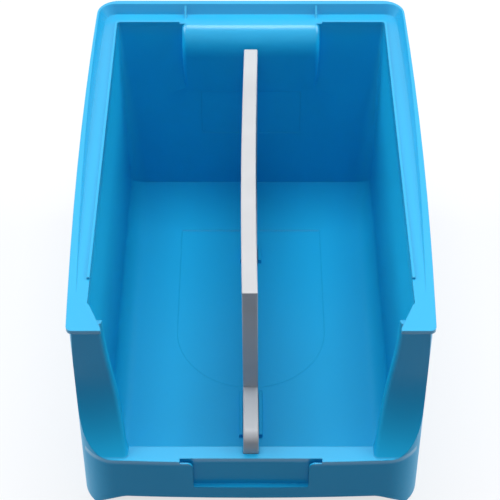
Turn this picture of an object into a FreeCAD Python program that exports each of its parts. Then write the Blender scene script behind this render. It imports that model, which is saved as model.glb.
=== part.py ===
"""Open-front stacking and hanging parts bin with one lengthwise divider.

Row frame: +X to the right seen from the front, +Y to the back, +Z up, millimetres.
The origin is the centre of the bin's footprint, on the surface it stands on.
Depths are measured from the front wall's face towards the back.
"""
import FreeCAD, Part
import math
import os

V = FreeCAD.Vector

# Overall size
bin_width = 150.0
bin_depth = 215.3
bin_height = 118.5

# Wall sections
wall = 2.4
floor_thickness = 2.5
floor_rise = 10.0
side_draft = 1.5
back_draft = 2.7

# Rim: a flat ledge with a raised border on its outside and a fine bead on its inside
ledge_width = 8.0
back_ledge_width = 7.6
border_height = 5.0
border_width = 2.5
border_lean = 1.7
side_border_base = 3.4
side_border_top = 0.9
rim_thickness = 1.8
rim_front_taper = 3.1
rim_bow_depth = 132.5
rim_corner_radius = 10.0
rim_tip_setback = 4.5
rim_tip_radius = 2.5
skirt_drop = 9.0
skirt_thickness = 2.0
skirt_front_setback = 28.0
hook_drop = 16.0
bead_width = 1.2
bead_height = 1.0
bead_front_setback = 32.3
gusset_offset = 31.7
gusset_thickness = 1.0
gusset_reach = 3.5
gusset_top_drop = 0.6

# Interior corners
floor_fillet = 9.0
back_corner_floor_radius = 8.5
back_corner_top_radius = 1.5

# Front wall, its lip and the label pocket
lip_height = 35.2
lip_depth = 8.6
front_bow = 1.2
front_corner_radius = 16.0
front_skin = 2.2
front_skirt_rise = 10.0
foot_curve_rise = 6.2
foot_curve_out = 1.5
foot_inner_half = 54.0
foot_outer_half = 68.0
pocket_half_width = 30.2
pocket_window_half = 24.7
pocket_depth = 2.2
pocket_retainer = 1.1
pocket_base_height = 17.6
pocket_retainer_drop = 1.3
pocket_retainer_radius = 2.5

# Front flanges beside the opening
flange_half_width = 72.2
front_flare = 1.4
flange_wrap = 24.0
flange_thickness = 2.6
flange_top_depth = 9.0
flange_waist_depth = 14.5
flange_waist_height = 75.0
flange_foot_depth = 2.0
opening_half_top = 58.3
opening_half_waist = 56.8
opening_half_lip = 52.0
opening_edge_radius = 2.2
rim_turn_depth = 18.4
rim_turn_inset = 0.8
tip_inner_depth = 6.0

# Foot ring under the sides and back
foot_half_width = 69.2
foot_thickness = 2.6
foot_height = 18.0

# Rail recess at the back, seen as a bulge inside
recess_half_width = 33.3
recess_depth = 7.0
recess_bottom = 74.0
recess_round_height = 16.0
recess_round_rise = 8.8
recess_round_run = 4.2
recess_side_radius = 2.5

# Shallow marks in the back wall and the floor
panel_width = 50.0
panel_height = 26.7
panel_bottom = 46.0
panel_relief = 0.2
lane_half_width = 35.2
lane_centre_depth = 95.0
lane_back_depth = 163.9
lane_relief = 0.2

# Divider and the seats that hold it
divider_thickness = 6.5
divider_web = 2.8
divider_flange = 3.2
divider_top = 105.5
divider_low_top = 46.5
divider_step_depth = 32.0
divider_front_depth = 5.0
divider_back_gap = 2.9
divider_nose_radius = 5.0
divider_edge_radius = 0.5
seat_clearance = 0.25
lug_thickness = 1.6
lug_height = 2.0
lug_clearance = 0.4
front_lugs = (31.0, 56.5)
middle_lugs = (140.7, 150.7)

# Values that follow from the sizes above
half_width = bin_width / 2
ledge_z = bin_height - border_height
floor_top = floor_rise + floor_thickness
inner_half_top = half_width - border_width - ledge_width
inner_half_floor = inner_half_top - side_draft
inner_back_top = bin_depth - border_width - border_lean - back_ledge_width
inner_back_floor = inner_back_top - back_draft
corner_change = back_corner_top_radius - back_corner_floor_radius
margin = 20.0
tolerance = 0.01


def place(depth):
    """Y of a depth measured from the front wall's face."""
    return depth - bin_depth / 2


def block(x0, x1, d0, d1, z0, z1):
    """A box between two X, two depths and two heights."""
    return Part.makeBox(x1 - x0, d1 - d0, z1 - z0, V(x0, place(d0), z0))


def wire_of(edges):
    """A closed wire from edges in order."""
    return Part.Wire(Part.__sortEdges__(edges))


def line(p, q):
    return Part.LineSegment(p, q).toShape()


def arc(p, middle, q):
    return Part.Arc(p, middle, q).toShape()


def across(points, x0, x1):
    """A prism along X from a list of (depth, height) corners."""
    ring = [V(x0, place(d), z) for d, z in points]
    return Part.Face(Part.makePolygon(ring + [ring[0]])).extrude(V(x1 - x0, 0, 0))


def along(points, d0, d1):
    """A prism along Y from a list of (x, height) corners."""
    ring = [V(x, place(d0), z) for x, z in points]
    return Part.Face(Part.makePolygon(ring + [ring[0]])).extrude(V(0, d1 - d0, 0))


def mirrored(shape):
    """The same shape on the other side of the bin's centre plane."""
    return shape.mirror(V(0, 0, 0), V(1, 0, 0))


def both_sides(shape):
    return [shape, mirrored(shape)]


def tub_outline(half, d0, d1, radius, z):
    """Plan outline with a straight front and rounded back corners."""
    k = radius * (1 - math.sqrt(0.5))
    y0 = place(d0)
    y1 = place(d1)
    return wire_of([
        line(V(-half, y0, z), V(half, y0, z)),
        line(V(half, y0, z), V(half, y1 - radius, z)),
        arc(V(half, y1 - radius, z), V(half - k, y1 - k, z), V(half - radius, y1, z)),
        line(V(half - radius, y1, z), V(radius - half, y1, z)),
        arc(V(radius - half, y1, z), V(k - half, y1 - k, z), V(-half, y1 - radius, z)),
        line(V(-half, y1 - radius, z), V(-half, y0, z)),
    ])


def tub(grow, z0, z1, front):
    """The drafted tub between two heights, its walls moved out by grow."""
    wires = []
    for z in (z0, z1):
        share = (z - floor_top) / (ledge_z - floor_top)
        half = inner_half_floor + side_draft * share + grow
        back = inner_back_floor + back_draft * share + grow
        radius = back_corner_floor_radius + corner_change * share + grow
        wires.append(tub_outline(half, front, back, radius, z))
    return Part.makeLoft(wires, True, True)


def rim_outline(side_inset, back_inset, radius, z):
    """Plan outline of the rim: gently bowed sides, straight front and back."""
    front = half_width - rim_front_taper - side_inset
    middle = half_width - side_inset
    d1 = bin_depth - back_inset
    bow = (d1 - radius - rim_bow_depth) / (rim_bow_depth - rim_tip_setback)
    back = middle - rim_front_taper * bow * bow
    k = radius * (1 - math.sqrt(0.5))
    y0 = place(rim_tip_setback)
    y1 = place(d1)
    ym = place(rim_bow_depth)
    t = rim_tip_radius
    c = t * (1 - math.sqrt(0.5))
    return wire_of([
        line(V(t - front, y0, z), V(front - t, y0, z)),
        arc(V(front - t, y0, z), V(front - c, y0 + c, z), V(front, y0 + t, z)),
        arc(V(front, y0 + t, z), V(middle, ym, z), V(back, y1 - radius, z)),
        arc(V(back, y1 - radius, z), V(back - k, y1 - k, z), V(back - radius, y1, z)),
        line(V(back - radius, y1, z), V(radius - back, y1, z)),
        arc(V(radius - back, y1, z), V(k - back, y1 - k, z), V(-back, y1 - radius, z)),
        arc(V(-back, y1 - radius, z), V(-middle, ym, z), V(-front, y0 + t, z)),
        arc(V(-front, y0 + t, z), V(c - front, y0 + c, z), V(t - front, y0, z)),
    ])


def rim_slab(side_inset, back_inset, radius, z0, z1):
    return Part.Face(rim_outline(side_inset, back_inset, radius, z0)).extrude(V(0, 0, z1 - z0))


def flange_profile(shift, d_near):
    """Side view of what lies in front of the flanges: straight above the waist, swept below it."""
    top = V(0, place(flange_top_depth + shift), ledge_z)
    waist = V(0, place(flange_waist_depth + shift), flange_waist_height)
    foot = V(0, place(flange_foot_depth + shift), lip_height)
    run = waist - top
    run.normalize()
    inward = V(0, -math.cos(math.atan2(run.y, -run.z)), -math.sin(math.atan2(run.y, -run.z)))
    reach = waist - foot
    radius = -reach.dot(reach) / (2 * inward.dot(reach))
    centre = waist + inward * radius
    half_way = (waist + foot) * 0.5 - centre
    half_way.normalize()
    middle = centre + half_way * radius
    near = place(d_near)
    return wire_of([
        line(top, waist),
        arc(waist, middle, foot),
        line(foot, V(0, near, lip_height)),
        line(V(0, near, lip_height), V(0, near, ledge_z)),
        line(V(0, near, ledge_z), top),
    ])


def in_front_of_flange(shift):
    profile = flange_profile(shift, -margin)
    profile.translate(V(-bin_width, 0, 0))
    return Part.Face(profile).extrude(V(2 * bin_width, 0, 0))


def front_outline(inset, z):
    """Plan outline of the front end: bowed face, well rounded corners, sides a little wider at the foot."""
    r = front_corner_radius - inset
    k = r * (1 - math.sqrt(0.5))
    half = flange_half_width + front_flare * (1 - z / ledge_z) - inset
    y0 = place(front_bow + inset)
    y1 = place(flange_wrap)
    return wire_of([
        arc(V(r - half, y0, z), V(0, place(inset), z), V(half - r, y0, z)),
        arc(V(half - r, y0, z), V(half - k, y0 + k, z), V(half, y0 + r, z)),
        line(V(half, y0 + r, z), V(half, y1, z)),
        line(V(half, y1, z), V(-half, y1, z)),
        line(V(-half, y1, z), V(-half, y0 + r, z)),
        arc(V(-half, y0 + r, z), V(k - half, y0 + k, z), V(r - half, y0, z)),
    ])


def front_block(inset, height):
    """Front end of the bin as a solid, its sides moved in by inset."""
    return Part.makeLoft([front_outline(inset, 0), front_outline(inset, height)], True, True)


def floor_corner(side):
    """The rounded corner along the foot of one side wall, as a bar."""
    r = floor_fillet
    foot = inner_half_floor
    lean = math.atan2(side_draft, ledge_z - floor_top)
    reach = r * math.tan((math.pi / 2 - lean) / 2)
    a = V(foot - reach, 0, floor_top)
    b = V(foot + reach * math.sin(lean), 0, floor_top + reach * math.cos(lean))
    centre = V(a.x, 0, floor_top + r)
    bisector = (a + b) * 0.5 - centre
    bisector.normalize()
    c = centre + bisector * r
    out = foot + wall
    low = floor_rise + floor_thickness / 2
    face = Part.Face(wire_of([
        arc(a, c, b),
        line(b, V(out, 0, b.z)),
        line(V(out, 0, b.z), V(out, 0, low)),
        line(V(out, 0, low), V(a.x, 0, low)),
        line(V(a.x, 0, low), a),
    ]))
    face.translate(V(0, place(lip_depth / 2), 0))
    bar = face.extrude(V(0, inner_back_floor - lip_depth / 2 + wall / 2, 0))
    return bar if side > 0 else mirrored(bar)


def opening():
    """Air between the flanges, above the lip: a little wider at its top, with gently bowed sides."""
    high = bin_height + margin
    lip = V(opening_half_lip, 0, lip_height)
    waist = V(opening_half_waist, 0, flange_waist_height)
    top = V(opening_half_top, 0, ledge_z)
    face = Part.Face(wire_of([
        arc(lip, waist, top),
        line(top, V(top.x, 0, high)),
        line(V(top.x, 0, high), V(-top.x, 0, high)),
        line(V(-top.x, 0, high), V(-top.x, 0, top.z)),
        arc(V(-top.x, 0, top.z), V(-waist.x, 0, waist.z), V(-lip.x, 0, lip.z)),
        line(V(-lip.x, 0, lip.z), lip),
    ]))
    face.translate(V(0, place(-margin), 0))
    return face.extrude(V(0, margin + rim_turn_depth, 0))


def rail_bulge(shift, inset):
    """The rail recess as a solid: full depth under the ledge, running out at its foot."""
    share = (recess_bottom - floor_top) / (ledge_z - floor_top)
    foot = inner_back_floor + back_draft * share + shift
    top = inner_back_top + shift
    front = top - recess_depth
    up = ledge_z + (0.0 if shift == 0 else -rim_thickness)
    crest = V(0, place(top), up)
    knee = V(0, place(front), up - recess_round_height)
    low = V(0, place(foot), recess_bottom)
    rise = knee - low
    rise.normalize()
    rounded = Part.BezierCurve()
    rounded.setPoles([knee, knee + rise * recess_round_rise, crest - V(0, recess_round_run, 0), crest])
    back = place(top + margin)
    face = Part.Face(wire_of([
        line(low, knee),
        rounded.toShape(),
        line(crest, V(0, back, up)),
        line(V(0, back, up), V(0, back, recess_bottom)),
        line(V(0, back, recess_bottom), low),
    ]))
    half = recess_half_width - inset
    face.translate(V(-half, 0, 0))
    solid = face.extrude(V(2 * half, 0, 0))
    sides = []
    for edge in solid.Edges:
        box = edge.BoundBox
        if box.XLength < tolerance and box.ZLength > 1.0 and box.YMax < place(top + margin) - 1.0:
            sides.append(edge)
    return solid.makeFillet(recess_side_radius, sides)


def lane():
    """The shallow lane in the floor: round at its front end, square at its back end."""
    centre = V(0, place(lane_centre_depth), floor_top - lane_relief)
    disc = Part.makeCylinder(lane_half_width, margin, centre)
    strip = block(-lane_half_width, lane_half_width, lane_centre_depth, lane_back_depth,
                  floor_top - lane_relief, floor_top + margin)
    front = block(-lane_half_width - 1, lane_half_width + 1, 0, lane_centre_depth,
                  floor_top - lane_relief, floor_top + margin)
    deep = disc.common(front).fuse(strip).removeSplitter()
    return deep.common(block(-lane_half_width - 1, lane_half_width + 1, 0, bin_depth,
                             floor_top - lane_relief, floor_top + 1))


def label_pocket():
    """Slot for a label: open at its top, held by a strip at each side."""
    deep = block(-pocket_half_width, pocket_half_width, pocket_retainer, pocket_depth,
                 pocket_base_height, lip_height + margin)
    half = pocket_window_half
    r = pocket_retainer_radius
    k = r * (1 - math.sqrt(0.5))
    top = lip_height - pocket_retainer_drop
    face = Part.Face(wire_of([
        line(V(-half, 0, pocket_base_height), V(half, 0, pocket_base_height)),
        line(V(half, 0, pocket_base_height), V(half, 0, top - r)),
        arc(V(half, 0, top - r), V(half + k, 0, top - k), V(half + r, 0, top)),
        line(V(half + r, 0, top), V(-half - r, 0, top)),
        arc(V(-half - r, 0, top), V(-half - k, 0, top - k), V(-half, 0, top - r)),
        line(V(-half, 0, top - r), V(-half, 0, pocket_base_height)),
    ]))
    face.translate(V(0, place(-margin), 0))
    window = face.extrude(V(0, margin + pocket_depth, 0))
    mouth = block(-pocket_half_width, pocket_half_width, -margin, pocket_depth,
                  top, lip_height + margin)
    return deep.fuse([window, mouth]).removeSplitter()


def front_underside():
    """Air under the front wall: level in the middle, curving down to the feet at the corners."""
    x0 = foot_inner_half
    x1 = foot_outer_half
    knee = V((x0 + x1) / 2 + foot_curve_out, 0, foot_curve_rise)
    face = Part.Face(wire_of([
        arc(V(x0, 0, front_skirt_rise), knee, V(x1, 0, 0)),
        line(V(x1, 0, 0), V(x1, 0, -1)),
        line(V(x1, 0, -1), V(-x1, 0, -1)),
        line(V(-x1, 0, -1), V(-x1, 0, 0)),
        arc(V(-x1, 0, 0), V(-knee.x, 0, knee.z), V(-x0, 0, front_skirt_rise)),
        line(V(-x0, 0, front_skirt_rise), V(x0, 0, front_skirt_rise)),
    ]))
    face.translate(V(0, place(-margin), 0))
    return face.extrude(V(0, margin + flange_wrap / 2, 0))


def tub_shell():
    """Floor, sides and back as one thin shell over a foot ring, and the hollow under the floor."""
    front = flange_wrap / 2
    back = inner_back_floor + foot_half_width - inner_half_floor
    radius = back_corner_floor_radius
    outer = Part.Face(tub_outline(foot_half_width, front, back, radius + wall, 0))
    inner = Part.Face(tub_outline(foot_half_width - foot_thickness, front, back - foot_thickness, radius, 0))
    ring = outer.extrude(V(0, 0, foot_height))
    hollow = inner.extrude(V(0, 0, floor_rise))
    shell = tub(wall, floor_rise, ledge_z, front)
    return shell.fuse(ring), hollow.fuse(front_block(foot_thickness, floor_rise))


def rim():
    """Ledge, raised border, bead, outer skirt and back hook."""
    lean_inset = border_width + border_lean
    back_inner = rim_corner_radius - lean_inset
    ledge = rim_slab(0, 0, rim_corner_radius, ledge_z - rim_thickness, ledge_z)
    raised = rim_slab(0, 0, rim_corner_radius, ledge_z - rim_thickness, bin_height)
    inner = Part.makeLoft([
        rim_outline(side_border_base, lean_inset, back_inner, ledge_z),
        rim_outline(side_border_top, border_width, back_inner + border_lean, bin_height),
    ], True, True)
    raised = raised.cut(inner)
    fall = across([(inner_back_floor, bin_height), (flange_wrap, ledge_z), (-margin, ledge_z),
                   (-margin, bin_height + margin), (inner_back_floor, bin_height + margin)],
                  -bin_width, bin_width)
    border = raised.cut(fall)

    skirt = rim_slab(0, 0, rim_corner_radius, ledge_z - rim_thickness - hook_drop, ledge_z)
    skirt = skirt.cut(rim_slab(skirt_thickness, skirt_thickness, rim_corner_radius - skirt_thickness,
                               ledge_z - rim_thickness - hook_drop, ledge_z))
    skirt = skirt.cut(block(-bin_width, bin_width, -margin, skirt_front_setback, 0, bin_height))
    skirt = skirt.cut(block(-bin_width, bin_width, -margin, bin_depth - rim_corner_radius,
                            0, ledge_z - rim_thickness - skirt_drop))
    return ledge.fuse([border, skirt])


def rim_opening():
    """Mouth of the tub through the rim, narrowing towards the two front tips."""
    half = inner_half_top
    y_turn = place(rim_turn_depth)
    y_tip = place(tip_inner_depth)
    y_front = place(-margin)
    y_back = place(inner_back_top)
    r = back_corner_top_radius
    k = r * (1 - math.sqrt(0.5))
    z = ledge_z - rim_thickness
    turn = half - rim_turn_inset
    tip = opening_half_top
    outline = wire_of([
        line(V(-tip, y_front, z), V(tip, y_front, z)),
        line(V(tip, y_front, z), V(tip, y_tip, z)),
        line(V(tip, y_tip, z), V(turn, y_turn, z)),
        line(V(turn, y_turn, z), V(half, y_turn + half - turn, z)),
        line(V(half, y_turn + half - turn, z), V(half, y_back - r, z)),
        arc(V(half, y_back - r, z), V(half - k, y_back - k, z), V(half - r, y_back, z)),
        line(V(half - r, y_back, z), V(r - half, y_back, z)),
        arc(V(r - half, y_back, z), V(k - half, y_back - k, z), V(-half, y_back - r, z)),
        line(V(-half, y_back - r, z), V(-half, y_turn + half - turn, z)),
        line(V(-half, y_turn + half - turn, z), V(-turn, y_turn, z)),
        line(V(-turn, y_turn, z), V(-tip, y_tip, z)),
        line(V(-tip, y_tip, z), V(-tip, y_front, z)),
    ])
    return Part.Face(outline).extrude(V(0, 0, bin_height - z + margin))


def bead():
    """Fine raised bead along the inner edge of the ledge, open at the bulge and at the front."""
    half = inner_half_top
    r = back_corner_top_radius
    low = ledge_z - rim_thickness / 2
    high = ledge_z + bead_height
    outer = Part.Face(tub_outline(half + bead_width, bead_front_setback, inner_back_top + bead_width,
                                  r + bead_width, low)).extrude(V(0, 0, high - low))
    inner = Part.Face(tub_outline(half, 0, inner_back_top, r, low)).extrude(V(0, 0, high - low))
    ring = outer.cut(inner)
    gap = recess_half_width + bead_width
    return ring.cut(block(-gap, gap, inner_back_floor, bin_depth, 0, bin_height + margin))


def gusset():
    """Thin triangular rib between the ledge and the back border."""
    foot = bin_depth - border_width - border_lean
    near = foot - gusset_reach
    far = foot + border_lean
    low = ledge_z - rim_thickness / 2
    x0 = gusset_offset - gusset_thickness / 2
    return across([(near, low), (near, ledge_z), (far, bin_height - gusset_top_drop), (far, low)],
                  x0, x0 + gusset_thickness)


def lug(span):
    """Low rib that keeps the divider's foot in place."""
    inner = divider_thickness / 2 + lug_clearance
    return block(inner, inner + lug_thickness, span[0], span[1],
                 floor_top - floor_thickness / 2, floor_top + lug_height)


def bin_body():
    shell, hollow = tub_shell()
    body = shell.fuse(front_block(0, ledge_z)).cut(in_front_of_flange(0))
    body = round_flange_edges(body.cut(opening()).removeSplitter())
    body = body.fuse(rim()).cut(hollow)

    # Inside of the tub, with the rail recess standing into it
    void = tub(0, floor_top, ledge_z - rim_thickness, lip_depth)
    void = void.cut(in_front_of_flange(flange_thickness))
    void = void.cut([floor_corner(1), floor_corner(-1)])
    body = body.cut(void.cut(rail_bulge(0, 0)))
    body = body.cut(rim_opening().cut(rail_bulge(0, 0)))
    body = body.cut(rail_bulge(wall, wall))

    # Ribs, lane, label pocket and the air under the front wall
    lugs = both_sides(lug(front_lugs)) + both_sides(lug(middle_lugs))
    body = body.fuse([bead()] + both_sides(gusset()) + lugs)
    body = body.cut([lane().cut(Part.makeCompound(lugs)), label_pocket(), front_underside()])

    # Shallow panel in the back wall
    half = panel_width / 2
    panel = block(-half, half, inner_back_floor - margin, inner_back_top + panel_relief,
                  panel_bottom, panel_bottom + panel_height)
    body = body.cut(panel.common(tub(panel_relief, floor_top, ledge_z, lip_depth)))

    # Slot in the lip for the divider's low end
    seat = divider_thickness / 2 + seat_clearance
    seat_front = divider_front_depth - seat_clearance
    body = body.cut(block(-seat, seat, seat_front, lip_depth + 1, floor_top, lip_height + margin))

    # Hollow between the two skins of the front wall, open underneath
    hollow_front = pocket_depth + front_skin
    hollow_back = lip_depth - wall
    side = block(seat + wall, opening_half_lip, hollow_front, hollow_back, -1, lip_height - wall)
    body = body.cut(both_sides(side))
    return body.removeSplitter()


def round_flange_edges(body):
    """Round the edges of the flanges beside the opening."""
    edges = []
    for edge in body.Edges:
        box = edge.BoundBox
        near = min(abs(box.XMin), abs(box.XMax))
        far = max(abs(box.XMin), abs(box.XMax))
        deep = box.YMax + bin_depth / 2
        beside_opening = near > opening_half_lip - tolerance and far < opening_half_top + tolerance
        on_flange = box.ZMin > lip_height - tolerance and deep < flange_waist_depth + 0.5
        if beside_opening and on_flange and box.ZLength > 1.0 and box.YLength > 1.0:
            edges.append(edge)
    return body.makeFillet(opening_edge_radius, edges)


def divider():
    """Upright panel with a thick edge all round and a thin web, lower at its front end."""
    back = inner_back_top - recess_depth - divider_back_gap
    r = divider_nose_radius
    k = r * (1 - math.sqrt(0.5))
    d0 = divider_front_depth
    low = divider_low_top
    face = Part.Face(wire_of([
        line(V(0, place(d0), floor_top), V(0, place(d0), low - r)),
        arc(V(0, place(d0), low - r), V(0, place(d0 + k), low - k), V(0, place(d0 + r), low)),
        line(V(0, place(d0 + r), low), V(0, place(divider_step_depth), low)),
        line(V(0, place(divider_step_depth), low), V(0, place(divider_step_depth), divider_top)),
        line(V(0, place(divider_step_depth), divider_top), V(0, place(back), divider_top)),
        line(V(0, place(back), divider_top), V(0, place(back), floor_top)),
        line(V(0, place(back), floor_top), V(0, place(d0), floor_top)),
    ]))
    face.translate(V(-divider_thickness / 2, 0, 0))
    panel = face.extrude(V(divider_thickness, 0, 0))
    upright = [e for e in panel.Edges if e.BoundBox.XLength < tolerance]
    panel = panel.makeFillet(divider_edge_radius, upright)
    f = divider_flange
    depth = (divider_thickness - divider_web) / 2
    x0 = divider_web / 2
    rear = block(x0, x0 + depth + 1, divider_step_depth + f, back - f, floor_top + f, divider_top - f)
    fore = block(x0, x0 + depth + 1, d0 + f, divider_step_depth, floor_top + f, low - f)
    for part in both_sides(rear) + both_sides(fore):
        panel = panel.cut(part)
    return panel


os.makedirs("parts", exist_ok=True)
for name, shape in (("bin_body", bin_body()), ("divider", divider())):
    print(name, shape.isValid(), len(shape.Solids), round(shape.Volume / 1000, 2), "cm3", shape.BoundBox)
    shape.exportStep("parts/" + name + ".step")
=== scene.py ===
"""Hanging parts bin with a lift-out divider: visible pieces, finishes, floor and light, in metres."""
import math

import bmesh
import bpy
import numpy as np
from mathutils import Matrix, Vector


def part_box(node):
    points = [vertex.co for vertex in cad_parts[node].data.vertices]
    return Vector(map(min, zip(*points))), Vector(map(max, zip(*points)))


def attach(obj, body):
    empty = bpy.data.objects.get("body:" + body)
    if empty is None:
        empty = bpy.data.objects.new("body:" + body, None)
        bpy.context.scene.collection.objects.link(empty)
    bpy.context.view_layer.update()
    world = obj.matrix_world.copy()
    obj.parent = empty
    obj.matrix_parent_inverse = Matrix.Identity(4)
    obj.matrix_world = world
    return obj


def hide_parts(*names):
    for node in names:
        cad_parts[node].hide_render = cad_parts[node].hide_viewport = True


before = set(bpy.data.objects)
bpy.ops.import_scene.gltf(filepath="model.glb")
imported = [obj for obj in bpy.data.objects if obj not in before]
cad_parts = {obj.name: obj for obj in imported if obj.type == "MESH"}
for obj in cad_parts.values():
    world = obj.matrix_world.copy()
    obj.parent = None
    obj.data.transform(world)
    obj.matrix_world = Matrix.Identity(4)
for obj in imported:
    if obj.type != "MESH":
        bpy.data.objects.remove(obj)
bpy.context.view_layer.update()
bin_low, bin_high = (np.array(corner, float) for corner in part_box("bin_body"))
panel_low, panel_high = (np.array(corner, float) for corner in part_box("divider"))
front_y = bin_low[1]


# The view: a long lens looks down into the open front of the bin at half a right angle.
# The camera stands a little over a third of a metre in front of the lip and half a metre up.
camera_setback = 0.3694
camera_height = 0.5317
camera_aside = 0.0004
camera_pitch = math.radians(45)
focal_share = 2.9
film = 36.0

lens = bpy.data.cameras.new("camera")
lens.sensor_width = film
lens.lens = focal_share * film
lens.clip_start = 0.01
camera = bpy.data.objects.new("camera", lens)
camera.location = (-camera_aside, front_y - camera_setback, camera_height)
camera.rotation_euler = (math.pi / 2 - camera_pitch, 0, 0)
bpy.context.scene.collection.objects.link(camera)
bpy.context.scene.camera = camera


# Shader trees: sockets take part in ordinary arithmetic, one method adds the nodes and another ends the tree.
class Value:
    """A shader socket in ordinary arithmetic: each operator adds one Math node."""

    def __init__(self, nodes, socket):
        self.nodes = nodes
        self.socket = socket

    def math(self, operation, *operands):
        return self.nodes.node("ShaderNodeMath", {"operation": operation}, dict(enumerate(operands)))

    def __add__(self, other):
        return self.math("ADD", self, other)

    def __radd__(self, other):
        return self.math("ADD", other, self)

    def __rsub__(self, other):
        return self.math("SUBTRACT", other, self)

    def __mul__(self, other):
        return self.math("MULTIPLY", self, other)

    def __rmul__(self, other):
        return self.math("MULTIPLY", other, self)

    def above(self, low, high):
        """0 where the value is under low, 1 where it is over high, and smooth between them."""
        return self.nodes.node("ShaderNodeMapRange", {"interpolation_type": "SMOOTHSTEP"},
                               {"Value": self, "From Min": low, "From Max": high})


class Nodes:
    """A shader tree. Values given to a node are wired in, and anything else is set on its socket."""

    def __init__(self, tree):
        self.tree = tree
        self.tree.nodes.clear()

    def node(self, kind, settings=None, sockets=None, output=0):
        made = self.tree.nodes.new(kind)
        for key, value in (settings or {}).items():
            setattr(made, key, value)
        for key, value in (sockets or {}).items():
            if isinstance(value, Value):
                self.tree.links.new(value.socket, made.inputs[key])
            else:
                made.inputs[key].default_value = value
        return Value(self, made.outputs[output])

    def blend(self, factor, a, b):
        """Colour a where factor is 0 and b where it is 1."""
        return self.node("ShaderNodeMix", {"data_type": "RGBA"},
                         {"Factor": factor, 6: (*a, 1), 7: (*b, 1)}, output=2)

    def seen(self):
        """1 for what is seen directly, in a gloss or through glass, and 0 for bounced light."""
        camera_ray = self.node("ShaderNodeLightPath", output="Is Camera Ray")
        glossy_ray = self.node("ShaderNodeLightPath", output="Is Glossy Ray")
        through_ray = self.node("ShaderNodeLightPath", output="Is Transmission Ray")
        direct = camera_ray.math("MAXIMUM", camera_ray, glossy_ray)
        return direct.math("MAXIMUM", direct, through_ray)

    def end(self, kind, shader):
        """Wires the shader to an output node of this kind."""
        self.tree.links.new(shader.socket, self.tree.nodes.new(kind).inputs["Surface"])


class Finish(Nodes):
    """One material, with the places and patterns that its finish is made from."""

    def __init__(self, name):
        self.material = bpy.data.materials.new(name)
        self.material.use_nodes = True
        super().__init__(self.material.node_tree)

    def place(self):
        return self.node("ShaderNodeTexCoord", output="Object")

    def axis(self, letter):
        return self.node("ShaderNodeSeparateXYZ", None, {"Vector": self.place()}, output=letter)

    def stretched(self, scale):
        return self.node("ShaderNodeMapping", None, {"Vector": self.place(), "Scale": scale})

    def noise(self, scale, detail=2.0, vector=None):
        return self.node("ShaderNodeTexNoise", None,
                         {"Vector": vector or self.place(), "Scale": scale, "Detail": detail})

    def rounded(self, radius):
        """Normals that run round the edges, as a mould's cutter leaves them."""
        return self.node("ShaderNodeBevel", {"samples": 6}, {"Radius": radius})

    def bump(self, height, distance, strength, normal):
        return self.node("ShaderNodeBump", None, {"Height": height, "Distance": distance,
                                                  "Strength": strength, "Normal": normal})

    def close(self, shader):
        self.end("ShaderNodeOutputMaterial", shader)
        return self.material


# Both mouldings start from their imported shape, with triangles joined up so that curved faces run smooth.
merge_step = 2e-6
smooth_angle = math.radians(28)
mould_edge = 0.0007


def smoothed(mesh):
    """Shades a mesh smooth, except over edges sharper than smooth_angle."""
    mesh.shade_smooth()
    mesh.set_sharp_from_angle(angle=smooth_angle)


def joined_copy(node, name):
    """A node's triangles with equal corners made one, so that shading runs on over curved faces."""
    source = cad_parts[node].data
    corners = np.empty(len(source.vertices) * 3)
    source.vertices.foreach_get("co", corners)
    corners = corners.reshape(-1, 3)
    loops = np.empty(len(source.loops), int)
    source.loops.foreach_get("vertex_index", loops)
    first, back = np.unique(np.round(corners / merge_step).astype(np.int64), axis=0,
                            return_index=True, return_inverse=True)[1:]
    triangles = back.reshape(-1)[loops].reshape(-1, 3)
    a, b, c = triangles.T
    triangles = triangles[(a != b) & (b != c) & (c != a)]
    mesh = bpy.data.meshes.new(name)
    mesh.from_pydata(corners[first], [], triangles)
    mesh.update()
    smoothed(mesh)
    piece = bpy.data.objects.new(name, mesh)
    bpy.context.scene.collection.objects.link(piece)
    return piece


# The bin: one injection moulding in sky blue polypropylene, glossier on its rim and lip.
# The rim is painted a little deeper in colour than the walls: painted shade that tones down the strong light
# on its top.
# The second blue is a deeper tone, used for the random flow clouding and as painted shade over the rim's top
# band.
bin_blue = (0.010, 0.48, 0.82)
cloud_and_rim_shade_blue = (0.008, 0.40, 0.69)
cloud_share = 0.3
rim_shade_share = 0.7
rim_polish_and_shade_band = (bin_high[2] - 0.014, bin_high[2] - 0.006)
lip_top = 0.0352
lip_polish = (lip_top - 0.003, lip_top - 0.001)
lip_polish_end = (lip_top + 0.0003, lip_top + 0.0008)
lip_back = (front_y + 0.0086, front_y + 0.0091)


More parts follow.
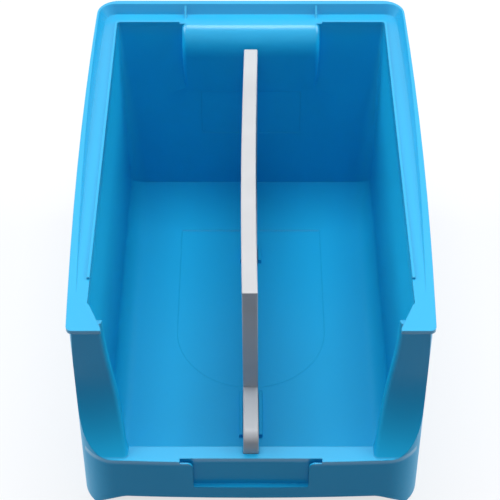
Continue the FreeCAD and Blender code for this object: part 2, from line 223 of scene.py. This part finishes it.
def bin_plastic():
    """Glossy blue moulding: faint flow clouding, painted shade on the rim, satin roughness drift and a very
    fine mould grain.
    """
    finish = Finish("bin_plastic")
    cloud = finish.noise(16.0, 3.0, finish.stretched((1.0, 0.45, 1.0)))
    grain = finish.noise(2600.0)
    ripple = finish.noise(42.0, 1.0, finish.stretched((1.0, 0.35, 1.0)))
    waved = finish.bump(ripple, 0.0006, 0.10, finish.rounded(mould_edge))
    grained = finish.bump(grain, 0.00003, 0.20, waved)
    rough = 0.30 + 0.10 * cloud + 0.05 * grain
    height = finish.axis("Z")
    on_rim = height.above(*rim_polish_and_shade_band)
    on_lip = height.above(*lip_polish) * (1 - height.above(*lip_polish_end))
    near_front = 1 - finish.axis("Y").above(*lip_back)
    polish = on_rim + on_lip * near_front
    # The colour deepens at random in clouds and, as painted shade, over the rim's top band, which is also the
    # polished band.
    cloud_and_rim_shade = cloud_share * cloud.above(0.35, 0.65) + rim_shade_share * on_rim
    colour = finish.blend(cloud_and_rim_shade, bin_blue, cloud_and_rim_shade_blue)
    shader = finish.node("ShaderNodeBsdfPrincipled", None,
                         {"Base Color": colour, "Roughness": rough, "IOR": 1.49, "Specular IOR Level": 0.22,
                          "Coat Weight": polish, "Coat Roughness": 0.28, "Normal": grained})
    return finish.close(shader)


bin_moulding = joined_copy("bin_body", "bin_moulding")
bin_moulding.data.materials.append(bin_plastic())
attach(bin_moulding, "bin")
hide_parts("bin_body")


# The divider: a pale grey moulded panel with a thick edge and a thin web, dropped in from above.
# Long thin mouldings keep a slight bow after cooling, so its middle leans a little to one side.
divider_grey = (0.57, 0.565, 0.555)
divider_shade = (0.525, 0.52, 0.51)
divider_bow = -0.0011
bow_cuts = 32


def bowed(piece):
    """Bows the panel sideways: half a sine along its length, growing with height from its foot."""
    work = bmesh.new()
    work.from_mesh(piece.data)
    for y in np.linspace(panel_low[1], panel_high[1], bow_cuts + 2)[1:-1]:
        everything = work.verts[:] + work.edges[:] + work.faces[:]
        bmesh.ops.bisect_plane(work, geom=everything, plane_co=(0, y, 0), plane_no=(0, 1, 0), dist=1e-6)
    bmesh.ops.triangulate(work, faces=work.faces[:])
    work.to_mesh(piece.data)
    work.free()
    points = np.empty(len(piece.data.vertices) * 3)
    piece.data.vertices.foreach_get("co", points)
    points = points.reshape(-1, 3)
    share = (points - panel_low) / (panel_high - panel_low)
    points[:, 0] += divider_bow * np.sin(math.pi * share[:, 1]) * share[:, 2]
    piece.data.vertices.foreach_set("co", points.ravel())
    piece.data.update()
    smoothed(piece.data)


def divider_plastic():
    """Satin grey moulding with faint clouding and a fine grain."""
    finish = Finish("divider_plastic")
    cloud = finish.noise(30.0, 3.0)
    grain = finish.noise(2200.0)
    grained = finish.bump(grain, 0.00003, 0.25, finish.rounded(mould_edge))
    colour = finish.blend(cloud.above(0.35, 0.65), divider_grey, divider_shade)
    rough = 0.40 + 0.10 * cloud
    shader = finish.node("ShaderNodeBsdfPrincipled", None,
                         {"Base Color": colour, "Roughness": rough, "IOR": 1.49, "Normal": grained})
    return finish.close(shader)


divider_panel = joined_copy("divider", "divider_panel")
bowed(divider_panel)
divider_panel.data.materials.append(divider_plastic())
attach(divider_panel, "divider")
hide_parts("divider")


# The floor: a wide sheet of pale board under the bin, which shows white and keeps the bin's shadow.
# It gives back less light than it shows, so that the bin's front stays in shade.
floor_half = 3.0
floor_shown = (0.93, 0.93, 0.93)
floor_lighting = (0.16, 0.16, 0.16)
floor_lift = 0.72


def floor_board():
    finish = Finish("floor_board")
    factor = finish.seen()
    colour = finish.blend(factor, floor_lighting, floor_shown)
    board = finish.node("ShaderNodeBsdfPrincipled", None,
                        {"Base Color": colour, "Roughness": 0.9, "Specular IOR Level": 0.0})
    white = finish.node("ShaderNodeEmission", None, {"Color": (1, 1, 1, 1), "Strength": 1.0})
    shader = finish.node("ShaderNodeMixShader", None, {"Fac": factor * floor_lift, 1: board, 2: white})
    return finish.close(shader)


floor_mesh = bpy.data.meshes.new("floor")
floor_corners = np.array([[-1, -1, 0], [1, -1, 0], [1, 1, 0], [-1, 1, 0]]) * floor_half
floor_mesh.from_pydata(floor_corners, [], [[0, 1, 2, 3]])
floor = bpy.data.objects.new("floor", floor_mesh)
bpy.context.scene.collection.objects.link(floor)
floor_mesh.materials.append(floor_board())


# The light: a broad soft panel overhead and a little behind, a weaker one at each side,
# and a pale bluish room that fills the faces turned away from them.
bin_middle = (0, 0, 0.05)
panel_size = 0.8
overhead_power = 10.3
side_power = 8.7
room_fill = (0.17, 0.21, 0.29)
room_shown = (1, 1, 1)


def softbox(name, place, power):
    """A square panel of light at a place, turned to face the bin."""
    lamp = bpy.data.lights.new(name, "AREA")
    lamp.shape = "SQUARE"
    lamp.size = panel_size
    lamp.energy = power
    panel = bpy.data.objects.new(name, lamp)
    panel.location = place
    away = Vector(place) - Vector(bin_middle)
    panel.rotation_euler = away.to_track_quat("Z", "Y").to_euler()
    bpy.context.scene.collection.objects.link(panel)


softbox("overhead", (0, 0.20, 1.4), overhead_power)
softbox("left_panel", (-1.0, 0.14, 0.85), side_power)
softbox("right_panel", (1.0, 0.14, 0.85), side_power)

world = bpy.data.worlds.new("room")
bpy.context.scene.world = world
world.use_nodes = True
room = Nodes(world.node_tree)
room_tone = room.blend(room.seen(), room_fill, room_shown)
room.end("ShaderNodeOutputWorld", room.node("ShaderNodeBackground", None, {"Color": room_tone}))

bpy.context.scene.view_settings.view_transform = "Standard"
